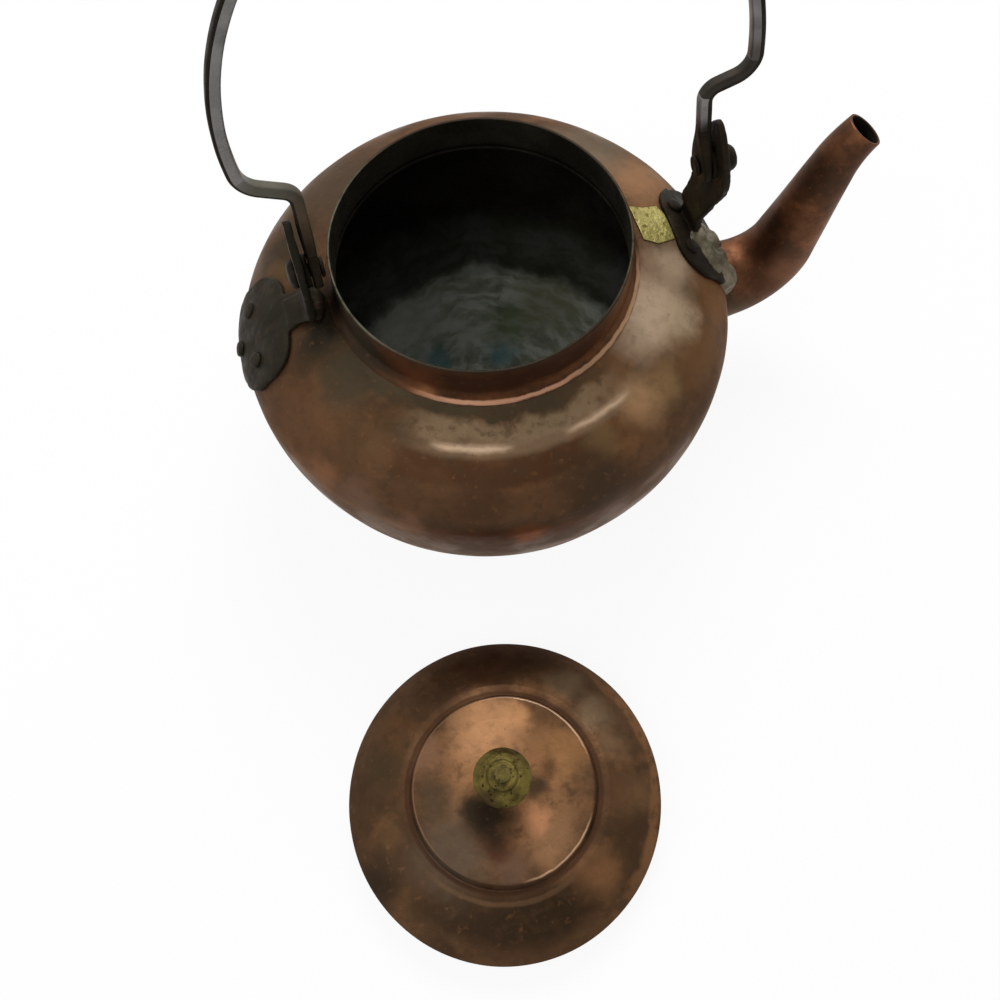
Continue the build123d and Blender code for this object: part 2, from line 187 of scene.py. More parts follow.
def piece(name, points, faces, materials, body, nodes=(), indices=None):
    """A smooth mesh in metres, made from points in millimetres, that rides on a body."""
    mesh = bpy.data.meshes.new(name)
    mesh.from_pydata([tuple(p * MM for p in point) for point in points], [], faces)
    for material in materials:
        mesh.materials.append(material)
    if indices is not None:
        mesh.polygons.foreach_set("material_index", indices)
    mesh.polygons.foreach_set("use_smooth", [True] * len(mesh.polygons))
    made = bpy.data.objects.new(name, mesh)
    bpy.context.scene.collection.objects.link(made)
    clean(mesh)
    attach(made, body)
    if nodes:
        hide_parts(*nodes)
    return made


def clean(mesh):
    """Joins the points that meet on an axis, and turns every face outwards."""
    work = bmesh.new()
    work.from_mesh(mesh)
    bmesh.ops.remove_doubles(work, verts=work.verts, dist=1e-6)
    bmesh.ops.recalc_face_normals(work, faces=work.faces)
    work.to_mesh(mesh)
    work.free()


def lattice_faces(rows, columns, rows_close=False):
    """Faces over rows of points, each row a closed ring."""
    faces = []
    last = rows if rows_close else rows - 1
    for i in range(last):
        for j in range(columns):
            k = (j + 1) % columns
            n = (i + 1) % rows
            faces.append((i * columns + j, i * columns + k, n * columns + k, n * columns + j))
    return faces


def wave(point, size, seed):
    """Smooth noise from about -1 to 1, with lumps of about this size in millimetres."""
    return noise.noise(Vector(point) / size + Vector((seed, seed * 0.7, -seed)))


def hermite(start, end, start_dir, end_dir, count):
    """A smooth curve between two points, without its last point."""
    a, b = np.array(start, float), np.array(end, float)
    span = np.linalg.norm(b - a)
    m, n = np.array(start_dir, float) * span, np.array(end_dir, float) * span
    t = np.linspace(0, 1, count, endpoint=False)[:, None]
    return ((2 * t**3 - 3 * t**2 + 1) * a + (t**3 - 2 * t**2 + t) * m
            + (-2 * t**3 + 3 * t**2) * b + (t**3 - t**2) * n)


def through(points, start_dir, end_dir, count):
    """A smooth curve through points, with the way it sets off and the way it arrives."""
    points = np.array(points, float)
    headings = [np.array(start_dir, float)]
    for before, after in zip(points[:-2], points[2:]):
        headings.append((after - before) / np.linalg.norm(after - before))
    headings.append(np.array(end_dir, float))
    parts = [hermite(points[i], points[i + 1], headings[i], headings[i + 1], count)
             for i in range(len(points) - 1)]
    return np.vstack(parts + [points[-1:]])


def straight(start, end, count):
    """Points along a straight line, without its last one."""
    return np.linspace(start, end, count, endpoint=False)


def arc(centre, radius, start, end, count):
    """Points along an arc between two turns in degrees, without its last one."""
    turn = np.radians(np.linspace(start, end, count, endpoint=False))
    return np.column_stack([centre[0] + radius * np.cos(turn), centre[1] + radius * np.sin(turn)])


def rounded(corners, radii, count):
    """A line through corners, each turned with an arc of its own radius, or all with one."""
    corners = [np.array(c, float) for c in corners]
    radii = np.broadcast_to(radii, len(corners) - 2)
    line = [corners[0]]
    for before, corner, after, radius in zip(corners[:-2], corners[1:-1], corners[2:], radii):
        into = (before - corner) / np.linalg.norm(before - corner)
        out = (after - corner) / np.linalg.norm(after - corner)
        half = np.arccos(np.clip(into @ out, -1, 1)) / 2
        reach = radius / np.tan(half)
        centre = corner + (into + out) / np.linalg.norm(into + out) * radius / np.sin(half)
        start, end = corner + into * reach, corner + out * reach
        for t in np.linspace(0, 1, count):
            spoke = (start - centre) * (1 - t) + (end - centre) * t
            line.append(centre + spoke / np.linalg.norm(spoke) * radius)
    line.append(corners[-1])
    return np.array(line)


def moved(profile, distance):
    """A profile moved to the right of its own heading."""
    heading = np.gradient(profile, axis=0)
    heading /= np.linalg.norm(heading, axis=1)[:, None]
    return profile + distance * np.column_stack([heading[:, 1], -heading[:, 0]])


def revolved(profile, dent=None, centre=(0, 0)):
    """Points of a profile turned about an upright axis, as rows, each moved out by dent."""
    turn = np.linspace(0, 2 * pi, ROUND, endpoint=False)
    rows = []
    for radius, height in profile:
        for angle in turn:
            x, y = cos(angle), sin(angle)
            out = dent(radius * x, radius * y, height) if dent else 0.0
            reach = max(radius + out, 0.0) if radius > AXIS_R else 0.0
            rows.append((centre[0] + reach * x, centre[1] + reach * y, height))
    return rows


def shell(name, outer, dent, materials, body, nodes, centre=(0, 0), hidden=0):
    """Sheet metal: an outer profile and its inside, joined round both edges. The last hidden
    rows of the outside lie under another sheet, and take the inside's near-black colour, painted shade."""
    inner = moved(outer, -SHEET)[::-1]
    profile = np.vstack([outer, inner])
    faces = lattice_faces(len(profile), ROUND, rows_close=True)
    split = (len(outer) - hidden) * ROUND
    foot = (len(profile) - 1) * ROUND
    indices = [0 if i < split or i >= foot else len(materials) - 1 for i in range(len(faces))]
    return piece(name, revolved(profile, dent, centre), faces, materials, body, nodes, indices)


def forged(name, node, material, body, slot, voxel, lumps, lump_size, smoothing=6, beads=(), reshape=None):
    """A CAD node's shape with its edges worn round and its faces left uneven by the hammer.
    Beads are round lumps that run into it, and reshape moves a point in millimetres."""
    made = bpy.data.objects.new(name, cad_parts[node].data.copy())
    bpy.context.scene.collection.objects.link(made)
    work = bmesh.new()
    work.from_mesh(made.data)
    for centre, radius in beads:
        place = Matrix.Translation(Vector(centre) * MM)
        bmesh.ops.create_icosphere(work, subdivisions=3, radius=radius * MM, matrix=place)
    work.to_mesh(made.data)
    work.free()
    made.data.materials.clear()
    made.data.materials.append(material)
    remesh = made.modifiers.new("remesh", "REMESH")
    remesh.mode = "VOXEL"
    remesh.voxel_size = voxel * MM
    smooth = made.modifiers.new("smooth", "SMOOTH")
    smooth.iterations = smoothing
    graph = bpy.context.evaluated_depsgraph_get()
    mesh = bpy.data.meshes.new_from_object(made.evaluated_get(graph))
    made.modifiers.clear()
    made.data = mesh
    normals = [v.normal.copy() for v in mesh.vertices]
    for vertex, normal in zip(mesh.vertices, normals):
        at = vertex.co / MM
        push = lumps * wave(at, lump_size, seed=3.1) + 0.3 * lumps * wave(at, lump_size / 3, seed=7.7)
        at += normal * push
        vertex.co = (reshape(at) if reshape else at) * MM
    mesh.polygons.foreach_set("use_smooth", [True] * len(mesh.polygons))
    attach(made, body)
    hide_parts(node)
    return made


# Small tools for materials

def add(tree, kind, inputs=None, **settings):
    """A shader node, with its inputs set to values or joined to sockets."""
    made = tree.nodes.new("ShaderNode" + kind)
    for key, value in settings.items():
        setattr(made, key, value)
    for key, value in (inputs or {}).items():
        if isinstance(value, bpy.types.NodeSocket):
            tree.links.new(value, made.inputs[key])
        else:
            made.inputs[key].default_value = value
    return made


def ranged(tree, value, low, high, to_low=0.0, to_high=1.0):
    """A value mapped from one range to another, smoothly and held at both ends."""
    made = add(tree, "MapRange", {0: value, 1: low, 2: high, 3: to_low, 4: to_high},
               interpolation_type="SMOOTHSTEP")
    return made.outputs[0]


def cloud(tree, place, size, low=0.35, high=0.65, detail=5.0, twist=0.0):
    """A noise mask from 0 to 1, with lumps of about this size in millimetres."""
    made = add(tree, "TexNoise", {"Vector": place, "Scale": 1 / (size * MM), "Detail": detail,
                                  "Roughness": 0.55, "Distortion": twist})
    return ranged(tree, made.outputs[0], low, high)


def mixed(tree, amount, first, second):
    """The first colour, with the second laid over it by an amount."""
    made = add(tree, "Mix", {0: amount, 6: first, 7: second}, data_type="RGBA")
    return made.outputs[2]


def times(tree, first, second, operation="MULTIPLY"):
    """Two values multiplied, or joined by another operation."""
    return add(tree, "Math", {0: first, 1: second}, operation=operation).outputs[0]


def warped(tree, place, size, amount):
    """Places pushed about by noise, so that what is drawn on them has ragged edges."""
    jitter = add(tree, "TexNoise", {"Vector": place, "Scale": 1 / (size * MM), "Detail": 4.0})
    centred = add(tree, "VectorMath", {0: jitter.outputs[1], 1: (0.5, 0.5, 0.5)}, operation="SUBTRACT")
    scaled = add(tree, "VectorMath", {0: centred.outputs[0], 3: amount * MM}, operation="SCALE")
    return add(tree, "VectorMath", {0: place, 1: scaled.outputs[0]}, operation="ADD").outputs[0]


def spot(tree, place, centre, radius):
    """A mask that is 1 at a place in millimetres and falls off to 0 at the radius."""
    gap = add(tree, "VectorMath", {0: place, 1: tuple(c * MM for c in centre)}, operation="DISTANCE")
    return ranged(tree, gap.outputs[1], radius * MM * 0.2, radius * MM, 1.0, 0.0)


def band(tree, value, middle, half, crisp=0.3):
    """A mask that is 1 where a value in millimetres is near the middle."""
    gap = times(tree, times(tree, value, middle * MM, "SUBTRACT"), 0.0, "ABSOLUTE")
    return ranged(tree, gap, half * MM * crisp, half * MM, 1.0, 0.0)


def facing(tree, flat, toward, spread):
    """A mask that is 1 on the side that faces a direction, in degrees about the upright axis."""
    aim = (cos(radians(toward)), sin(radians(toward)), 0)
    share = add(tree, "VectorMath", {0: flat, 1: aim}, operation="DOT_PRODUCT").outputs[1]
    return ranged(tree, share, cos(radians(spread)), cos(radians(spread * 0.4)))


def about_axis(tree, place, centre):
    """A point's radius and height about an upright axis, and the way it faces."""
    offset = add(tree, "VectorMath", {0: place, 1: (centre[0] * MM, centre[1] * MM, 0)},
                 operation="SUBTRACT").outputs[0]
    parts = add(tree, "SeparateXYZ", {0: offset})
    flat = add(tree, "CombineXYZ", {0: parts.outputs[0], 1: parts.outputs[1]}).outputs[0]
    radius = add(tree, "VectorMath", {0: flat}, operation="LENGTH").outputs[1]
    way = add(tree, "VectorMath", {0: flat}, operation="NORMALIZE").outputs[0]
    return radius, parts.outputs[2], way


def spotted(tree, place, color, spots):
    """Lays spots over a colour, stains and painted light and shade alike, each a place, a radius, a colour
    and how much it covers.
    """
    for centre, radius, tint, amount in spots:
        color = mixed(tree, times(tree, spot(tree, place, centre, radius), amount), color, tint)
    return color


def banded(tree, place, color, bands, centre, by_radius):
    """Lays bands over a colour, each a place along the outline, a half width, the way that it
    faces and how far it runs, a colour and how much it covers."""
    radius, height, way = about_axis(tree, place, centre)
    for middle, half, toward, spread, tint, amount in bands:
        mask = band(tree, radius if by_radius else height, middle, half)
        if spread < 180:
            mask = times(tree, mask, facing(tree, way, toward, spread))
        color = mixed(tree, times(tree, mask, amount), color, tint)
    return color


def start_material(name):
    """A new material, its empty node tree and the socket of the places on the object."""
    material = bpy.data.materials.new(name)
    material.use_nodes = True
    tree = material.node_tree
    tree.nodes.clear()
    place = add(tree, "TexCoord").outputs["Object"]
    return material, tree, place


def finish_material(tree, color, metallic, rough, bump_height, bump_size, gloss=0.3):
    """Ends a material with its shader. Metallic and gloss are one number all over."""
    bump = add(tree, "Bump", {"Strength": 1.0, "Distance": bump_size * MM, "Height": bump_height})
    shader = add(tree, "BsdfPrincipled", {"Base Color": color, "Metallic": metallic, "Roughness": rough,
                                          "Specular IOR Level": gloss, "Specular Tint": EDGE_TINT,
                                          "Normal": bump.outputs[0]})
    out = add(tree, "OutputMaterial")
    tree.links.new(shader.outputs[0], out.inputs[0])


def summed(tree, *parts):
    total = parts[0]
    for part in parts[1:]:
        total = times(tree, total, part, "ADD")
    return total


def patina(name, tones, spots, bands, lines, rough, centre=(0, 0), by_radius=False, metallic=0.5):
    """Old copper: a base tone with dark and warm clouds, then soft bands and spots, fine lines along its
    edges and creases, and dark flecks. The bands, the lines and some of the spots are painted light and
    shade: highlights, reflections and shadows; the other spots are stains."""
    material, tree, place = start_material(name)
    base, dark, warm = tones
    ragged = warped(tree, warped(tree, place, 18, 14), 5, 4)
    color = mixed(tree, cloud(tree, ragged, 34, 0.40, 0.66), base, dark)
    color = mixed(tree, times(tree, cloud(tree, ragged, 19, 0.50, 0.72), 0.7), color, warm)
    color = banded(tree, warped(tree, place, 14, 7), color, bands, centre, by_radius)
    mottle = cloud(tree, warped(tree, place, 4, 3), 5.0, 0.46, 0.70, 6.0)
    color = mixed(tree, times(tree, mottle, 0.55), color, dark)
    color = spotted(tree, ragged, color, spots)
    color = mixed(tree, times(tree, mottle, 0.18), color, dark)
    glints = cloud(tree, warped(tree, place, 3, 2), 3.4, 0.58, 0.76, 6.0)
    color = mixed(tree, times(tree, glints, 0.42), color, warm)
    color = banded(tree, warped(tree, place, 6, 1.0), color, lines, centre, by_radius)
    flecks = cloud(tree, place, 1.5, 0.64, 0.74, 6.0)
    color = mixed(tree, times(tree, flecks, 0.4), color, dark)
    roughness = ranged(tree, cloud(tree, place, 21, 0.3, 0.7), 0.0, 1.0, *rough)
    height = summed(tree, times(tree, cloud(tree, place, 6.5, 0.3, 0.7), 0.8),
                    times(tree, cloud(tree, place, 0.9, 0.3, 0.7), 0.14), times(tree, flecks, -0.3))
    finish_material(tree, color, metallic, roughness, height, 0.09)
    return material


# Materials

def inside_material():
    """Near-black wall, its darkness painted shade, and a floor with pale scale in strokes that run out
    from its middle.
    """
    material, tree, place = start_material("inside")
    ragged = warped(tree, place, 14, 12)
    wall = mixed(tree, cloud(tree, ragged, 30), srgb(14, 14, 11), srgb(30, 30, 24))
    radius, height, way = about_axis(tree, ragged, (0, 0))
    ring_r, stretch = 60, 3.4
    out = add(tree, "VectorMath", {0: way, 3: ring_r * MM}, operation="SCALE").outputs[0]
    along = add(tree, "CombineXYZ", {2: times(tree, radius, stretch)}).outputs[0]
    polar = add(tree, "VectorMath", {0: out, 1: along}, operation="ADD").outputs[0]
    strokes = cloud(tree, polar, 19, 0.36, 0.64, 6.0)
    scale = mixed(tree, strokes, srgb(158, 164, 142), srgb(214, 219, 205))
    scale = mixed(tree, times(tree, cloud(tree, ragged, 15, 0.50, 0.66), 0.6), scale, srgb(112, 118, 98))
    scale = spotted(tree, warped(tree, place, 8, 16), scale, [
        ((-32, 52, 2), 30, srgb(216, 220, 206), 0.7),
        ((44, 40, 2), 28, srgb(138, 136, 104), 0.7),
        ((20, 36, 2), 17, srgb(112, 134, 84), 0.6),
        ((2, 34, 2), 12, srgb(210, 214, 200), 0.6),
        ((-20, 27, 2), 12, srgb(104, 160, 160), 0.7),
        ((11, 20, 2), 12, srgb(98, 158, 166), 0.7),
    ])
    covered = ranged(tree, radius, 0.068, 0.079, 1.0, 0.10)
    on_floor = times(tree, ranged(tree, height, 0.010, 0.030, 1.0, 0.0), covered)
    color = mixed(tree, on_floor, wall, scale)
    grain = cloud(tree, place, 3.2, 0.3, 0.7)
    finish_material(tree, color, 0.0, ranged(tree, grain, 0.0, 1.0, 0.6, 0.9), grain, 0.25, 0.15)
    return material


def iron(name, tones, metallic, rough, spots=(), lump=0.16, gloss=0.3):
    """Forged iron or metal blackened by stains, with lighter rubbed places and hammer marks."""
    material, tree, place = start_material(name)
    base, light, rust = tones
    ragged = warped(tree, place, 9, 8)
    color = mixed(tree, cloud(tree, ragged, 13), base, light)
    color = mixed(tree, times(tree, cloud(tree, ragged, 8, 0.56, 0.72), 0.6), color, rust)
    color = spotted(tree, warped(tree, place, 7, 6), color, spots)
    height = summed(tree, times(tree, cloud(tree, place, 6.0, 0.3, 0.7), 0.6),
                    times(tree, cloud(tree, place, 1.1, 0.3, 0.7), 0.3))
    roughness = ranged(tree, cloud(tree, place, 9, 0.3, 0.7), 0.0, 1.0, *rough)
    finish_material(tree, color, metallic, roughness, height, lump, gloss)
    return material


def pitted_brass(name, base, light, dark, pit_size, spots=()):
    """Tarnished cast brass, with dark pits."""
    material, tree, place = start_material(name)
    color = mixed(tree, cloud(tree, place, 7), base, light)
    cells = add(tree, "TexVoronoi", {"Vector": warped(tree, place, 3, 2), "Scale": 1 / (pit_size * MM)})
    pits = times(tree, ranged(tree, cells.outputs["Distance"], 0.14, 0.36, 1.0, 0.0),
                 cloud(tree, place, 5, 0.40, 0.56))
    color = spotted(tree, warped(tree, place, 3, 3), color, spots)
    color = mixed(tree, pits, color, dark)
    height = summed(tree, cloud(tree, place, 2.4, 0.3, 0.7), times(tree, pits, -1.0))
    finish_material(tree, color, 0.5, 0.42, height, 0.18)
    return material


EDGE_TINT = srgb(206, 176, 146)
FOOT_SHADOW = srgb(56, 50, 37)
SOOT = srgb(50, 38, 28)
CREASE_HIGHLIGHT = srgb(196, 168, 140)

# Spots, stains and painted light and shade among them, as place, radius, colour and cover. Bands and
# lines, mostly painted light and shade, as height or radius, half width, the way that they face and how
# far they run in degrees, colour and cover.
BELLY_SPOTS = [
    ((-71, -34, 116), 22, srgb(58, 52, 39), 0.85),
    ((-80, -14, 115), 18, srgb(38, 35, 26), 0.8),
    ((-94, -39, 101), 26, srgb(88, 60, 40), 0.7),
    ((-72, -60, 108), 20, srgb(72, 52, 33), 0.7),
    ((-79, -77, 89), 17, srgb(106, 80, 66), 0.6),
    ((-31, -98, 100), 20, srgb(62, 42, 28), 0.7),
    ((19, -105, 96), 24, SOOT, 0.75),
    ((-13, -111, 79), 12, srgb(136, 78, 43), 0.8),
    # The next two spots, with the one at (75, -48, 111), are a painted grey-tan reflection on the right
    # shoulder.
    ((62, -42, 118), 31, srgb(168, 146, 122), 0.97),
    ((84, -20, 114), 19, srgb(160, 138, 114), 0.9),
    ((46, -79, 110), 16, srgb(150, 116, 82), 0.8),
    ((80, -60, 104), 26, srgb(100, 70, 42), 0.8),
    ((98, -34, 99), 22, srgb(114, 78, 46), 0.75),
    ((85, 29, 111), 26, srgb(144, 106, 76), 0.85),
    ((66, 52, 113), 30, srgb(106, 92, 76), 0.85),
    ((-52, 75, 110), 44, srgb(66, 55, 43), 0.9),
    ((-84, 42, 108), 28, srgb(46, 39, 28), 0.9),
    ((-86, 33, 108), 9, srgb(84, 64, 38), 0.7),
    ((-79, 15, 112), 12, srgb(28, 28, 22), 0.9),
    ((-74, -8, 117), 14, srgb(24, 24, 19), 0.95),
    ((-71, 4, 120), 20, srgb(14, 14, 10), 0.97),
    ((-93, -62, 92), 14, srgb(124, 84, 58), 0.7),
    ((-62, -92, 82), 12, srgb(118, 84, 64), 0.6),
    ((60, -76, 108), 13, srgb(126, 98, 66), 0.7),
    ((24, -90, 108), 12, srgb(104, 82, 54), 0.6),
    # Painted grey-tan reflection on the right shoulder.
    ((75, -48, 111), 14, srgb(162, 142, 116), 0.75),
    ((77, 61, 105), 24, srgb(84, 74, 62), 0.85),
    ((80, -6, 115), 15, srgb(86, 66, 48), 0.6),
]
# Belly bands, all painted light and shade on its front: a painted shadow under the neck's foot, a painted
# reflection lightening the shoulder, and darker bands from the crease down that paint the reflection of
# dark surroundings.
BELLY_LIGHT_AND_SHADE = [
    (118.9, 2.4, -118, 66, FOOT_SHADOW, 0.9),
    (115.4, 2.6, -96, 42, srgb(122, 103, 79), 0.8),
    (107.6, 5.0, -104, 46, srgb(64, 40, 24), 0.9),
    (97.0, 8.0, -112, 60, srgb(82, 56, 37), 0.6),
    (87.5, 5.0, -98, 70, srgb(66, 50, 38), 0.7),
    (80.0, 7.0, -104, 24, srgb(74, 42, 24), 0.85),
    (66.0, 14.0, -100, 90, srgb(72, 54, 41), 0.7),
]
# Painted highlights along the crease: a soft glow, and bright thin lines at its left and right, where its
# edge is also worn bright.
BELLY_CREASE_HIGHLIGHTS = [
    (112.7, 2.4, -92, 44, srgb(126, 104, 82), 0.55),
    (112.8, 1.1, -110, 13, srgb(168, 142, 116), 0.75),
    (112.8, 0.45, -110, 13, CREASE_HIGHLIGHT, 0.6),
    (112.8, 1.0, -72, 13, srgb(160, 134, 108), 0.65),
    (112.8, 0.4, -72, 12, CREASE_HIGHLIGHT, 0.45),
]
COPPER = patina("copper", (srgb(88, 61, 40), srgb(64, 46, 31), srgb(112, 76, 47)),
                BELLY_SPOTS, BELLY_LIGHT_AND_SHADE, BELLY_CREASE_HIGHLIGHTS, (0.36, 0.56))

NECK_SPOTS = [
    ((-62, -26, 130), 24, srgb(32, 30, 22), 0.88),
    ((-44, -50, 130), 17, srgb(88, 50, 28), 0.8),
    ((-40, -54, 122), 8, srgb(128, 84, 52), 0.6),
    ((50, -42, 130), 26, srgb(98, 60, 30), 0.7),
    ((-66, 0, 130), 24, srgb(12, 12, 9), 0.97),
]
# The neck's front painted dark as shade, and its lower front right painted lighter as light.
NECK_LIGHT_AND_SHADE = [
    (132.0, 11.0, -100, 56, srgb(44, 23, 12), 0.9),
    (125.0, 3.0, -50, 50, srgb(98, 60, 32), 0.6),
]
# A dark rim with thin painted highlights on its left and right, and at the foot painted highlights along
# the flange's lip, where its edge is also worn bright.
NECK_LINES = [
    (142.2, 1.7, 0, 360, srgb(34, 30, 22), 0.95),
    (142.2, 0.5, 172, 62, srgb(92, 92, 78), 0.5),
    (142.2, 0.4, -14, 40, srgb(78, 68, 52), 0.45),
    (121.3, 0.8, -96, 40, srgb(184, 138, 110), 0.9),
    (121.4, 0.8, -42, 34, srgb(176, 140, 108), 0.85),
]
NECK = patina("neck", (srgb(70, 40, 22), srgb(44, 28, 17), srgb(100, 58, 30)),
              NECK_SPOTS, NECK_LIGHT_AND_SHADE, NECK_LINES, (0.4, 0.56), metallic=0.35)


def on_lid(x, y, z=LID_STAIN_Z):
    """A place on the lid, from its own middle."""
    return (LID_X + x, LID_Y + y, z)


def on_crown(x, y):
    """A place on the lid's crown, from the lid's own middle."""
    return on_lid(x, y, CROWN_STAIN_Z)


LID_SPOTS = [
    (on_crown(0, 27), 22, srgb(172, 126, 88), 0.85),
    (on_crown(-28, 22), 14, srgb(118, 86, 64), 0.7),
    (on_crown(27, 8), 17, srgb(134, 95, 60), 0.75),
    (on_crown(14, -27), 17, srgb(126, 92, 64), 0.7),
    (on_crown(-27, -17), 25, srgb(78, 64, 51), 0.95),
    (on_crown(-29, 5), 14, srgb(66, 51, 37), 0.85),
    (on_crown(-6, -33), 13, srgb(88, 66, 52), 0.75),
    (on_crown(-9, -21), 10, srgb(66, 40, 29), 0.9),
    # The next five spots are the knob's painted shadow, a crescent from its lower left round to its right.
    (on_crown(-9, -9), 15, srgb(32, 27, 20), 0.97),
    (on_crown(-13, -4), 9, srgb(34, 28, 20), 0.9),
    (on_crown(14, -3), 7, srgb(50, 37, 24), 0.85),
    (on_crown(20, 3), 6, srgb(76, 52, 32), 0.8),
    (on_crown(14, -6), 8, srgb(60, 44, 30), 0.8),
    (on_crown(10, -17), 10, srgb(164, 114, 80), 0.85),
    (on_crown(14, 27), 10, srgb(184, 134, 92), 0.7),
    # The next four spots are a painted grey reflection along the lid's right side.
    (on_lid(42, 36), 13, srgb(102, 84, 64), 0.8),
    (on_lid(50, 20), 13, srgb(112, 92, 70), 0.85),
    (on_lid(53, 5), 12, srgb(104, 80, 58), 0.8),
    (on_lid(56, -18), 14, srgb(100, 74, 50), 0.7),
    (on_lid(29, -45), 16, srgb(116, 80, 52), 0.85),
    (on_lid(-61, -21, 16), 17, srgb(38, 29, 20), 0.9),
    (on_lid(-50, 28), 18, srgb(60, 48, 32), 0.7),
    (on_lid(-40, 44), 14, srgb(88, 60, 36), 0.6),
    (on_lid(8, 58), 26, srgb(60, 38, 24), 0.8),
    (on_lid(-53, -2), 12, srgb(80, 58, 36), 0.6),
]
# Lid bands: the front of the dome darkened as painted shade, its right edge lightened as painted light,
# and a lighter crown disc.
LID_BANDS = [
    (53.0, 14.0, -106, 62, srgb(37, 26, 16), 0.93),
    (65.5, 3.5, -10, 60, srgb(126, 88, 56), 0.6),
    (0.0, 41.0, 0, 360, srgb(138, 98, 66), 0.9),
]
# Lid lines: a dark ring of painted shade in the groove round the crown, a lighter lip outside it, and
# painted highlights along the crown's edge.
LID_LINES = [
    (41.4, 1.6, 0, 360, srgb(54, 33, 22), 0.75),
    (45.6, 1.4, -100, 60, srgb(92, 68, 48), 0.5),
    (38.5, 0.7, 44, 46, srgb(206, 170, 138), 0.75),
    (38.5, 0.6, -64, 34, srgb(196, 158, 126), 0.75),
    (38.5, 0.6, 160, 60, srgb(130, 98, 76), 0.5),
]
LID_COPPER = patina("lid_copper", (srgb(80, 56, 37), srgb(58, 41, 27), srgb(104, 72, 46)),
                    LID_SPOTS, LID_BANDS, LID_LINES, (0.36, 0.54), (LID_X, LID_Y), True)

SPOUT_COPPER = patina("spout_copper", (srgb(92, 58, 38), srgb(54, 36, 25), srgb(128, 82, 54)), [
    ((122, -14, 46), 20, srgb(76, 66, 51), 0.8),
    ((134, -12, 72), 20, srgb(60, 34, 20), 0.85),
    ((148, -14, 66), 18, srgb(116, 78, 58), 0.8),
], [], [], (0.34, 0.5))

INSIDE = inside_material()
LEFT_TONES = (srgb(27, 26, 20), srgb(38, 36, 28), srgb(52, 40, 27))
BLACK_TONES = (srgb(19, 16, 11), srgb(30, 25, 18), srgb(42, 30, 20))
STAINED_TONES = (srgb(70, 57, 44), srgb(84, 70, 55), srgb(54, 42, 30))
BAIL_TONES = (srgb(102, 101, 100), srgb(124, 122, 120), srgb(90, 87, 84))
CRANK_TONES = (srgb(38, 36, 33), srgb(48, 45, 41), srgb(32, 28, 24))
BRAZE_TONES = (srgb(72, 67, 53), srgb(116, 107, 90), srgb(74, 50, 34))
LUG_IRON = iron("lug_iron", LEFT_TONES, 0.2, (0.46, 0.66), [
    ((-74, 0, 150), 40, srgb(18, 18, 14), 0.97),
    ((-79, 4, 176), 26, srgb(24, 24, 18), 0.9),
    ((-82, 24, 112), 12, srgb(30, 27, 19), 0.7),
], gloss=0.22)
# Black iron: the own colour of the right pivot rivet and the solder lump, and on the bail the painted
# shade of its outer side and palms.
BLACK_IRON = iron("black_iron", BLACK_TONES, 0.0, (0.5, 0.7), gloss=0.16)
PLATE_IRON = iron("plate_iron", BLACK_TONES, 0.0, (0.5, 0.7), [
    ((103, -6, 102), 10, srgb(80, 76, 60), 0.9),
    ((105, -14, 98), 10, srgb(72, 70, 54), 0.9),
    ((108, -2, 97), 10, srgb(84, 80, 64), 0.9),
    ((110, -18, 91), 11, srgb(84, 76, 60), 0.9),
], gloss=0.16)
BAIL_IRON = iron("bail_iron", BAIL_TONES, 0.6, (0.30, 0.46), [
    ((122, 9, 206), 13, srgb(58, 55, 52), 0.8),
    ((-93, 8, 216), 16, srgb(124, 121, 118), 0.8),
    ((-104, 16, 255), 34, srgb(120, 118, 116), 0.7),
    # Near black on the right palm, painted shade by the right ear.
    ((99.8, 3, 173), 11, srgb(26, 23, 18), 0.95),
])
CRANK_IRON = iron("crank_iron", CRANK_TONES, 0.0, (0.45, 0.60), [
    ((-84, 8, 199), 22, srgb(90, 87, 77), 0.95),
    ((-93, 8, 212), 12, srgb(114, 112, 106), 0.95),
    ((-71.2, 6, 186), 15, srgb(80, 68, 54), 0.9),
], gloss=0.2)
STAINED_IRON = iron("stained_iron", STAINED_TONES, 0.2, (0.42, 0.6), [
    ((-71.2, 2, 166), 12, srgb(26, 23, 18), 0.97),
], gloss=0.2)
BRAZE = iron("braze", BRAZE_TONES, 0.3, (0.34, 0.55), [
    ((104, -12, 102), 11, srgb(70, 72, 56), 0.7),
    ((108, -4, 100), 8, srgb(104, 100, 84), 0.6),
    ((113, -16, 89), 7, srgb(124, 114, 96), 0.6),
], lump=0.3)
KNOB_BRASS = pitted_brass("knob_brass", srgb(58, 49, 21), srgb(100, 89, 42), srgb(18, 14, 7), 2.2, [
    (on_lid(-9, -8, 48), 9, srgb(44, 35, 15), 0.85),
    # Painted highlight on the knob's button.
    (on_lid(0, 0, 53), 4.5, srgb(128, 118, 68), 0.7),
    (on_lid(0, 1, 56), 3.0, srgb(76, 64, 30), 0.95),
    (on_lid(2, 10, 48), 7, srgb(58, 46, 18), 0.6),
])
PATCH_BRASS = pitted_brass("patch_brass", srgb(140, 131, 76), srgb(164, 154, 96), srgb(104, 94, 50), 4.2)


# Kettle

def dents(x, y, z):
    """How far the raised copper stands out from a true round, in millimetres."""
    broad = 0.34 * wave((x, y, z), size=42, seed=1.3)
    fine = 0.09 * wave((x, y, z), size=12, seed=5.1)
    return broad + fine - 0.05


def belly_dents(x, y, z):
    """The same, with the seam where the pan's edge is turned up round the belly."""
    return dents(x, y, z) - SEAM_DEEP * np.exp(-((z - PAN_HEIGHT) / SEAM_HALF) ** 2)


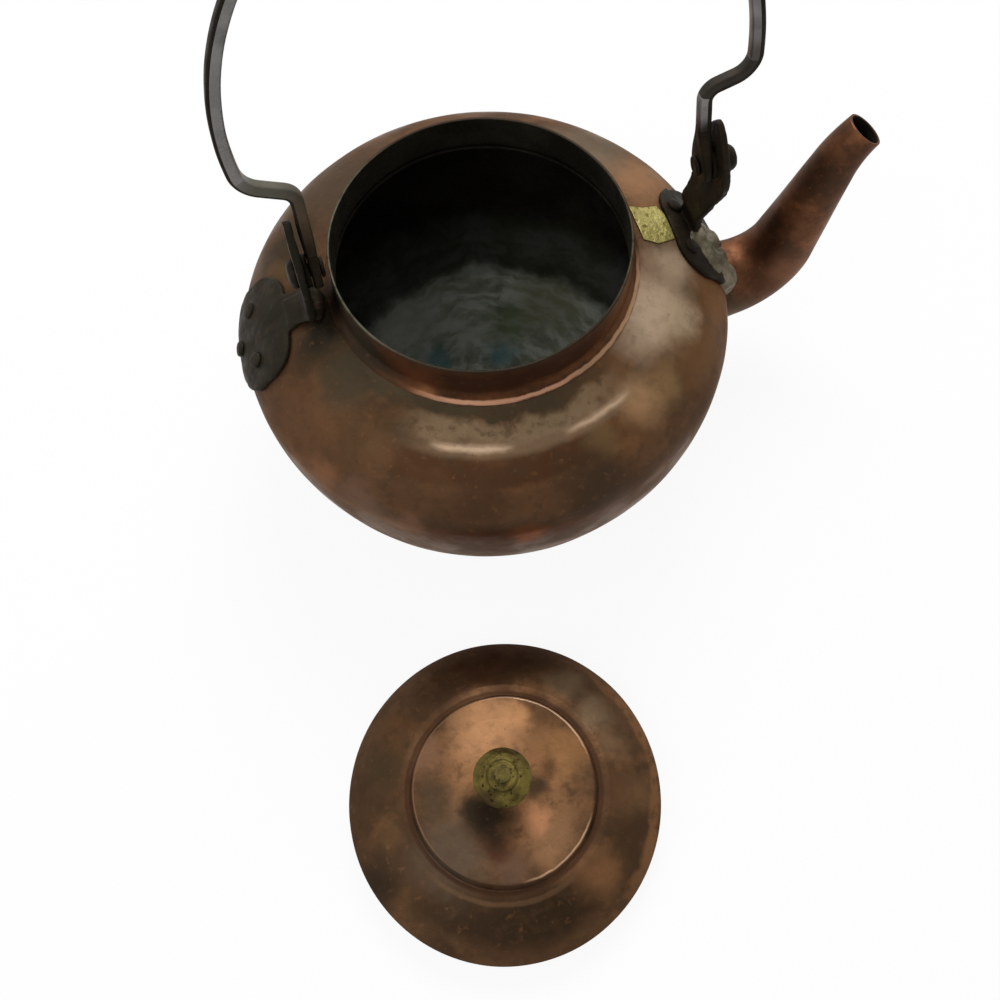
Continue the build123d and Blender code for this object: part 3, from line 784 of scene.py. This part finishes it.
def belly_profile():
    """The outside of the kettle from the middle of the base up to the neck."""
    turn = asin((BELLY_Z - BASE_CORNER) / LOWER_ARC)
    middle = (BELLY_R - LOWER_ARC, BELLY_Z)
    low = (middle[0] + LOWER_ARC * cos(turn), BASE_CORNER)
    flat = straight((0.0, 0.0), (BASE_R, 0.0), 60)
    corner = hermite((BASE_R, 0.0), low, (1, 0), (sin(turn), cos(turn)), 70)
    side = arc(middle, LOWER_ARC, -np.degrees(turn), 0, 90)
    slope = radians(CREASE_SLOPE)
    haunch = through(HAUNCH, (0, 1), (-cos(slope), sin(slope)), 34)
    inner_r = RIM_R - SHEET
    shoulder = straight(haunch[-1], (inner_r, shoulder_height(inner_r)), 40)[1:]
    return np.vstack([flat, corner, side, haunch, shoulder])


def shoulder_height(radius):
    """The height of the shoulder's outside at a radius."""
    return HAUNCH[-1][1] + (HAUNCH[-1][0] - radius) * tan(radians(SHOULDER_SLOPE))


def make_belly():
    shell("belly", belly_profile(), belly_dents, [COPPER, INSIDE], "kettle",
          ["belly_shell", "base_pan"], hidden=UNDER_NECK)


def make_neck():
    slope = radians(SHOULDER_SLOPE)
    turn = 90 - SHOULDER_SLOPE
    foot = (FOOT_R, shoulder_height(FOOT_R) + SHEET)
    swing = radians(turn)
    level = FOOT_R - RIM_R - FLARE * (1 - cos(swing))
    top = foot[1] + level * tan(slope) + FLARE * sin(swing)
    centre = (RIM_R + FLARE, top)
    bend = arc(centre, FLARE, 180 + turn, 180, 24)
    wall = straight((RIM_R, top), (RIM_R, RIM_Z), 26)
    outer = np.vstack([[foot], bend, wall, [(RIM_R, RIM_Z)]])

    def uneven(x, y, z):
        return dents(x, y, z) + 0.25 * wave((x, y, 0), size=30, seed=8.8)

    shell("neck", outer, uneven, [NECK, INSIDE], "kettle", ["neck_collar"])


def spout_line(count):
    """The spout's middle line in the XZ plane."""
    rise, lip = radians(SPOUT_RISE), radians(SPOUT_LIP)
    start = (SPOUT_START, SPOUT_Z)
    bend = (SPOUT_START + SPOUT_LEVEL, SPOUT_Z)
    level = straight(start, bend, count)
    elbow = arc((bend[0], bend[1] + SPOUT_BEND), SPOUT_BEND, -90, SPOUT_RISE - 90, count)
    top = np.array((bend[0] + SPOUT_BEND * sin(rise), SPOUT_Z + SPOUT_BEND * (1 - cos(rise))))
    end = top + SPOUT_STRAIGHT * np.array((cos(rise), sin(rise)))
    leg = straight(top, end, count)
    over = end + SPOUT_LIP_BEND * np.array((sin(rise), -cos(rise)))
    out = arc(over, SPOUT_LIP_BEND, SPOUT_RISE + 90, SPOUT_LIP + 90, count)
    tip = end + SPOUT_LIP_BEND * np.array((sin(rise) - sin(lip), cos(lip) - cos(rise)))
    return np.vstack([level, elbow, leg, out, [tip]])


def make_spout():
    line = spout_line(26)
    steps = np.linalg.norm(np.diff(line, axis=0), axis=1)
    share = np.minimum(np.concatenate([[0], np.cumsum(steps)]) / steps.sum(), 1.0)
    heading = np.gradient(line, axis=0)
    heading /= np.linalg.norm(heading, axis=1)[:, None]
    rows = []

    def ring(i, radius):
        for turn in np.linspace(0, 2 * pi, SPOUT_AROUND, endpoint=False):
            out, across = radius * cos(turn), radius * sin(turn)
            even = (line[i][0] - heading[i][1] * out, across, line[i][1] + heading[i][0] * out)
            grow = 1 + 0.006 * wave(even, size=20, seed=2.2)
            rows.append((line[i][0] - heading[i][1] * out * grow, across * grow,
                         line[i][1] + heading[i][0] * out * grow))

    seen = [i for i in range(len(line)) if share[i] >= SPOUT_SEEN_FROM]
    radii = SPOUT_TIP_R - SPOUT_SLACK + (SPOUT_ROOT_R - SPOUT_TIP_R) * (1 - share) ** SPOUT_TAPER
    for i in seen:
        ring(i, radii[i])
    for i in reversed(seen):
        ring(i, radii[i] - SHEET)
    faces = lattice_faces(2 * len(seen), SPOUT_AROUND, rows_close=True)
    indices = [0 if i < len(seen) * SPOUT_AROUND else 1 for i in range(len(faces))]
    piece("gooseneck", rows, faces, [SPOUT_COPPER, INSIDE], "kettle", ["spout"], indices)


# Bail

# The bail's irons: grey, partly the iron's own colour and partly a painted reflection on the faces the
# light falls on; black, painted shade; stained; and the darker crank.
BAIL_IRONS = [BAIL_IRON, BLACK_IRON, STAINED_IRON, CRANK_IRON]
GREY_LIT, BLACK, STAINED, CRANKED = range(len(BAIL_IRONS))


def bail_half(side):
    """Half of the bail's line, from the end of a palm to the top, as distance out and height."""
    bow_z, side_arc = BOW[side]
    crank_z, crank_lean = CRANK[side]
    crown = bow_z + side_arc - BAIL_RISE
    offset = side_arc - BOW_SPAN
    join = radians(90) - 2 * atan(crown / offset)
    top_arc = side_arc - offset / cos(join)
    lean = radians(crank_lean)
    low = np.array((-offset + side_arc * cos(lean), bow_z - side_arc * sin(lean)))
    corner = low - CRANK_DROP * np.array((sin(lean), cos(lean)))
    palm_end = (LEG_SPAN, -PALM_R)
    crank = rounded([palm_end, (LEG_SPAN, crank_z), corner, low], (CRANK_BEND, BOW_BEND[side]), 14)
    leg = straight(crank[0], crank[1], 46)
    bow = arc((-offset, bow_z), side_arc, -crank_lean, np.degrees(join), 50)
    gap = side_arc - top_arc
    middle = np.array((-offset + gap * cos(join), bow_z + gap * sin(join)))
    top = arc(middle, top_arc, np.degrees(join), 90, 40)
    return np.vstack([leg, crank[1:-1], bow, top])


def bar_size(height):
    """Half thickness and half width of the bail at a height up its leg."""
    if height >= PALM_TOP:
        return BAR_HALF_THICK, BAR_HALF_WIDE
    if height <= 0:
        return PALM_HALF_THICK, max(sqrt(max(PALM_R**2 - height**2, 0)), PALM_END_WIDE)
    t = height / PALM_TOP
    t = t * t * (3 - 2 * t)
    return PALM_HALF_THICK + (BAR_HALF_THICK - PALM_HALF_THICK) * t, PALM_R + (BAR_HALF_WIDE - PALM_R) * t


def side_of(at):
    """The half of the bail that a point of its line is on, -1 for the left one."""
    return 1 if at[0] > 0 else -1


def bar_iron(at):
    """Which of the bail's irons shows at a point of its line, away from the strip of painted shade."""
    side = side_of(at)
    if at[1] < BLACK_BELOW[side]:
        return BLACK
    if side == -1 and at[1] < CRANK_BELOW[side]:
        return STAINED if at[1] < STAINED_BELOW else CRANKED
    return CRANKED if CRANK_FROM < at[1] < CRANK_BELOW[side] else GREY_LIT


def on_strip(turn, side):
    """Whether a face that starts at this turn is on the bar's outer side, painted dark as shade."""
    return turn > radians(STRIP_FROM[side]) - TINY or turn < pi / 2 - TINY


def make_bail():
    """A squarish bar swept along both halves of the line, leaning about the pivot axis."""
    line = np.vstack([bail_half(1), [(0.0, BAIL_RISE)], bail_half(-1)[::-1] * [-1, 1]])
    heading = np.gradient(line, axis=0)
    heading /= np.linalg.norm(heading, axis=1)[:, None]
    turns = sorted([*np.linspace(0, 2 * pi, BAR_AROUND, endpoint=False), radians(STRIP_FROM[1])])
    around = len(turns)
    lean = radians(BAIL_LEAN)
    rows = []
    for at, way in zip(line, heading):
        on_leg = abs(abs(at[0]) - LEG_SPAN) < TINY
        thick, wide = bar_size(at[1] if on_leg else PALM_TOP)
        for turn in turns:
            c, s = cos(turn), sin(turn)
            across = thick * np.sign(c) * abs(c) ** BAR_SQUARENESS
            deep = wide * np.sign(s) * abs(s) ** BAR_SQUARENESS
            even = (at[0] + way[1] * across, deep, at[1] - way[0] * across)
            lump = 1 + 0.03 * wave(even, size=12, seed=4.4)
            x = at[0] + way[1] * across * lump
            up = at[1] - way[0] * across * lump
            deep *= lump
            rows.append((BAIL_X + x, deep * cos(lean) + up * sin(lean),
                         PIVOT_Z - deep * sin(lean) + up * cos(lean)))
    faces = lattice_faces(len(line), around)
    irons = []
    for at in line[:-1]:
        shown = bar_iron(at)
        irons += [BLACK if on_strip(turn, side_of(at)) else shown for turn in turns]
    faces.append(tuple(range(around))[::-1])
    faces.append(tuple(range((len(line) - 1) * around, len(line) * around)))
    piece("bail_bar", rows, faces, BAIL_IRONS, "bail", ["bail"], irons + [BLACK, BLACK])


# Lid

def make_lid():
    edge, moat = np.array((LID_R, LID_EDGE_Z)), np.array((MOAT_R, MOAT_Z))
    t = np.linspace(0, 1, 60, endpoint=False)[:, None]
    swell = 4 * LID_SWELL * t * (1 - t) * np.array((0.5, 1.0))
    dome = edge * (1 - t) + moat * t + swell
    corners = [moat, (CROWN_R + STEP_LEAN, MOAT_Z - STEP_DIP), (CROWN_R, CROWN_Z),
               (CROWN_R - CROWN_LIP, CROWN_FLAT_Z), (0.0, CROWN_FLAT_Z)]
    step = rounded(corners, STEP_BEND, 7)
    crown = straight(step[-2], step[-1], 40)
    outer = np.vstack([dome, step[:-2], crown, [step[-1]]])

    def uneven(x, y, z):
        return 0.12 * wave((x, y, z), size=24, seed=6.6) - 0.05

    shell("lid", outer, uneven, [LID_COPPER, INSIDE], "lid", ["lid_cover"], (LID_X, LID_Y))
    height = LID_EDGE_Z + BEZEL_RISE
    bezel = np.vstack([straight((BEZEL_R, 0.0), (BEZEL_R, height), 12), [(BEZEL_R, height)]])
    shell("bezel", bezel, None, [LID_COPPER, INSIDE], "lid", ["lid_bezel"], (LID_X, LID_Y))


def make_knob():
    """A foot, a waist, a cap with a ring on it, and a button on top."""
    foot, cap = CROWN_FLAT_Z, KNOB_CAP_Z
    foot_edge, foot_top = (KNOB_FOOT_R, foot), (KNOB_FOOT_R, foot + 1.6)
    under_cap, cap_top = (KNOB_R - 0.9, cap - 2.2), (KNOB_R - 0.7, cap)
    ring_foot, ring_top = (6.6, cap + 2.3), (4.6, cap + 4.1)
    button = (2.7, cap + 4.3)
    profile = np.vstack([
        straight((0.0, foot), foot_edge, 6),
        straight(foot_edge, foot_top, 4),
        through([foot_top, (KNOB_WAIST_R, foot + 7), under_cap], (-1, 0.4), (1, 0.5), 20),
        through([under_cap, (KNOB_R, cap - 1), cap_top], (0.5, 1), (-0.7, 1), 8),
        through([cap_top, (9.2, cap + 1.5), ring_foot], (-1, 0.5), (-1, 0.1), 12),
        through([ring_foot, (6.0, cap + 3.8), ring_top], (0, 1), (-1, 0), 8),
        straight(ring_top, button, 6),
        through([button, (3.4, KNOB_TOP_Z - 2.2), (0.0, KNOB_TOP_Z)], (1, 1), (-1, 0), 12),
    ])

    def cast(x, y, z):
        return 0.10 * wave((x, y, z), size=4, seed=9.9)

    rows = revolved(profile, cast, (LID_X, LID_Y))
    faces = lattice_faces(len(profile), ROUND)
    piece("knob_turned", rows, faces, [KNOB_BRASS], "lid", ["knob"])


def worn_right_ear(at):
    """The right ear above the plate: its back edge drawn in, and its lower part bent towards the neck."""
    rise = min(max((at.z - EAR_SLIM_FROM) / EAR_SLIM_OVER, 0), 1)
    if at.y > 0 and at.x > EAR_X:
        at.y *= 1 - EAR_SLIM * rise
    below = min(max((TUCK_TOP - at.z) / TUCK_OVER, 0), 1)
    above = min(max((at.z - TUCK_FOOT) / TUCK_OVER, 0), 1)
    at.x -= EAR_TUCK * below * above
    return at


def tall_head(at):
    """The right pivot rivet's outer head, which stands out further than the left one's."""
    if at.x > OUTER_FACE_X:
        at.x = OUTER_FACE_X + (at.x - OUTER_FACE_X) * HEAD_STRETCH
    return at


def sunk(*at):
    """A round lump whose middle lies under the haunch's skin, so that a low dome shows."""
    ring = np.array((at[0], at[1], 0.0)) / np.hypot(at[0], at[1]) * HAUNCH_RING
    out = np.array(at, float) - ring - (0, 0, BELLY_Z)
    return tuple(np.array(at) - out / np.linalg.norm(out) * BEAD_SUNK), BEAD_R


SOLDER_BEADS = [sunk(99, -7, 104), sunk(101, -13, 102), sunk(103, -18, 99), sunk(103, 0, 100),
                sunk(105, -8, 97), sunk(106, -15, 95), sunk(109, -3, 92), sunk(109, -21, 89),
                sunk(111, -11, 88), sunk(113, -17, 82)]


def make_forgings():
    """The pieces that keep their solid's shape, worn and hammered, and the two that show it as it is."""
    plate = {"voxel": 0.6, "lumps": 0.45, "lump_size": 9}
    small = {"voxel": 0.4, "lumps": 0.15, "lump_size": 3, "smoothing": 3}
    forged("left_ear_and_plate", "left_lug", LUG_IRON, "kettle", "lug_iron", **plate)
    forged("right_ear_and_plate", "right_lug", PLATE_IRON, "kettle", "lug_iron", **plate, smoothing=10,
           reshape=worn_right_ear)
    for node in ("left_lug_rivets", "left_pivot_rivet", "left_pivot_washer"):
        forged(node + "_worn", node, LUG_IRON, "kettle", "lug_iron", **small)
    for node in ("right_lug_rivets", "right_pivot_washer"):
        forged(node + "_worn", node, PLATE_IRON, "kettle", "lug_iron", **small)
    forged("right_pivot_rivet_worn", "right_pivot_rivet", BLACK_IRON, "kettle", "lug_iron", **small,
           reshape=tall_head)
    forged("braze_bead", "spout_braze", BRAZE, "kettle", "braze", voxel=0.5, lumps=1.3, lump_size=6,
           smoothing=26, beads=SOLDER_BEADS)
    forged("solder_lump", "left_lug_solder", BLACK_IRON, "kettle", "braze", voxel=0.4, lumps=0.6,
           lump_size=4)
    forged("patch", "brass_patch", PATCH_BRASS, "kettle", "patch_brass", voxel=0.28, lumps=0.10,
           lump_size=4, smoothing=2)
    for node, material in (("knob_tang", LUG_IRON), ("tang_washer", KNOB_BRASS)):
        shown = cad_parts[node]
        shown.data.materials.clear()
        shown.data.materials.append(material)


# Stage, light and camera

def to_white(tree, share):
    """How far a surface shows plain white: this share on camera, glossy and see-through rays."""
    path = add(tree, "LightPath")
    rays = times(tree, path.outputs["Is Camera Ray"], path.outputs["Is Glossy Ray"], "MAXIMUM")
    rays = times(tree, rays, path.outputs["Is Transmission Ray"], "MAXIMUM")
    return times(tree, rays, share)


def make_floor():
    half = FLOOR_HALF
    mesh = bpy.data.meshes.new("floor")
    corners = [(-half, -half, 0), (half, -half, 0), (half, half, 0), (-half, half, 0)]
    mesh.from_pydata(corners, [], [(0, 1, 2, 3)])
    floor = bpy.data.objects.new("floor", mesh)
    floor.location.z = -FLOOR_DROP
    bpy.context.scene.collection.objects.link(floor)
    material, tree, _ = start_material("floor")
    paper = add(tree, "BsdfDiffuse", {"Color": srgb(236, 236, 236)})
    glow = add(tree, "Emission", {"Color": (1, 1, 1, 1), "Strength": 1.0})
    share = to_white(tree, FLOOR_WHITE)
    shown = add(tree, "MixShader", {0: share, 1: paper.outputs[0], 2: glow.outputs[0]})
    out = add(tree, "OutputMaterial")
    tree.links.new(shown.outputs[0], out.inputs[0])
    mesh.materials.append(material)


def make_world():
    world = bpy.data.worlds.new("studio")
    bpy.context.scene.world = world
    world.use_nodes = True
    tree = world.node_tree
    tree.nodes.clear()
    room = add(tree, "Background", {"Color": (1, 1, 1, 1), "Strength": ROOM_LIGHT})
    white = add(tree, "Background", {"Color": (1, 1, 1, 1), "Strength": 1.0})
    shown = add(tree, "MixShader", {0: to_white(tree, 1.0), 1: room.outputs[0], 2: white.outputs[0]})
    out = add(tree, "OutputWorld")
    tree.links.new(shown.outputs[0], out.inputs[0])


def make_lamp(name, at, size, power):
    data = bpy.data.lights.new(name, "AREA")
    data.shape = "DISK"
    data.size = size
    data.energy = power
    lamp = bpy.data.objects.new(name, data)
    lamp.location = at
    aim = Vector(LAMPS_AIM) - Vector(at)
    lamp.rotation_euler = aim.to_track_quat("-Z", "Y").to_euler()
    bpy.context.scene.collection.objects.link(lamp)


def make_camera():
    turn, dip, roll = radians(CAMERA_TURN), radians(CAMERA_DIP), radians(CAMERA_ROLL)
    ahead = Vector((sin(turn) * cos(dip), cos(turn) * cos(dip), -sin(dip)))
    level = Vector((cos(turn), -sin(turn), 0))
    up = level.cross(ahead)
    right = level * cos(roll) + up * sin(roll)
    top = up * cos(roll) - level * sin(roll)
    data = bpy.data.cameras.new("camera")
    data.lens = LENS
    data.sensor_width = SENSOR
    data.shift_y = SHIFT_Y
    camera = bpy.data.objects.new("camera", data)
    camera.matrix_world = Matrix((
        (right.x, top.x, -ahead.x, CAMERA_AT[0]),
        (right.y, top.y, -ahead.y, CAMERA_AT[1]),
        (right.z, top.z, -ahead.z, CAMERA_AT[2]),
        (0, 0, 0, 1)))
    bpy.context.scene.collection.objects.link(camera)
    bpy.context.scene.camera = camera


bpy.context.scene.view_settings.view_transform = "Standard"
make_camera()
make_world()
make_floor()
make_lamp("key", (0.35, 0.75, 1.15), size=0.9, power=16)
make_lamp("fill", (-0.9, -0.5, 1.0), size=1.2, power=7)
make_belly()
make_neck()
make_spout()
make_bail()
make_lid()
make_knob()
make_forgings()
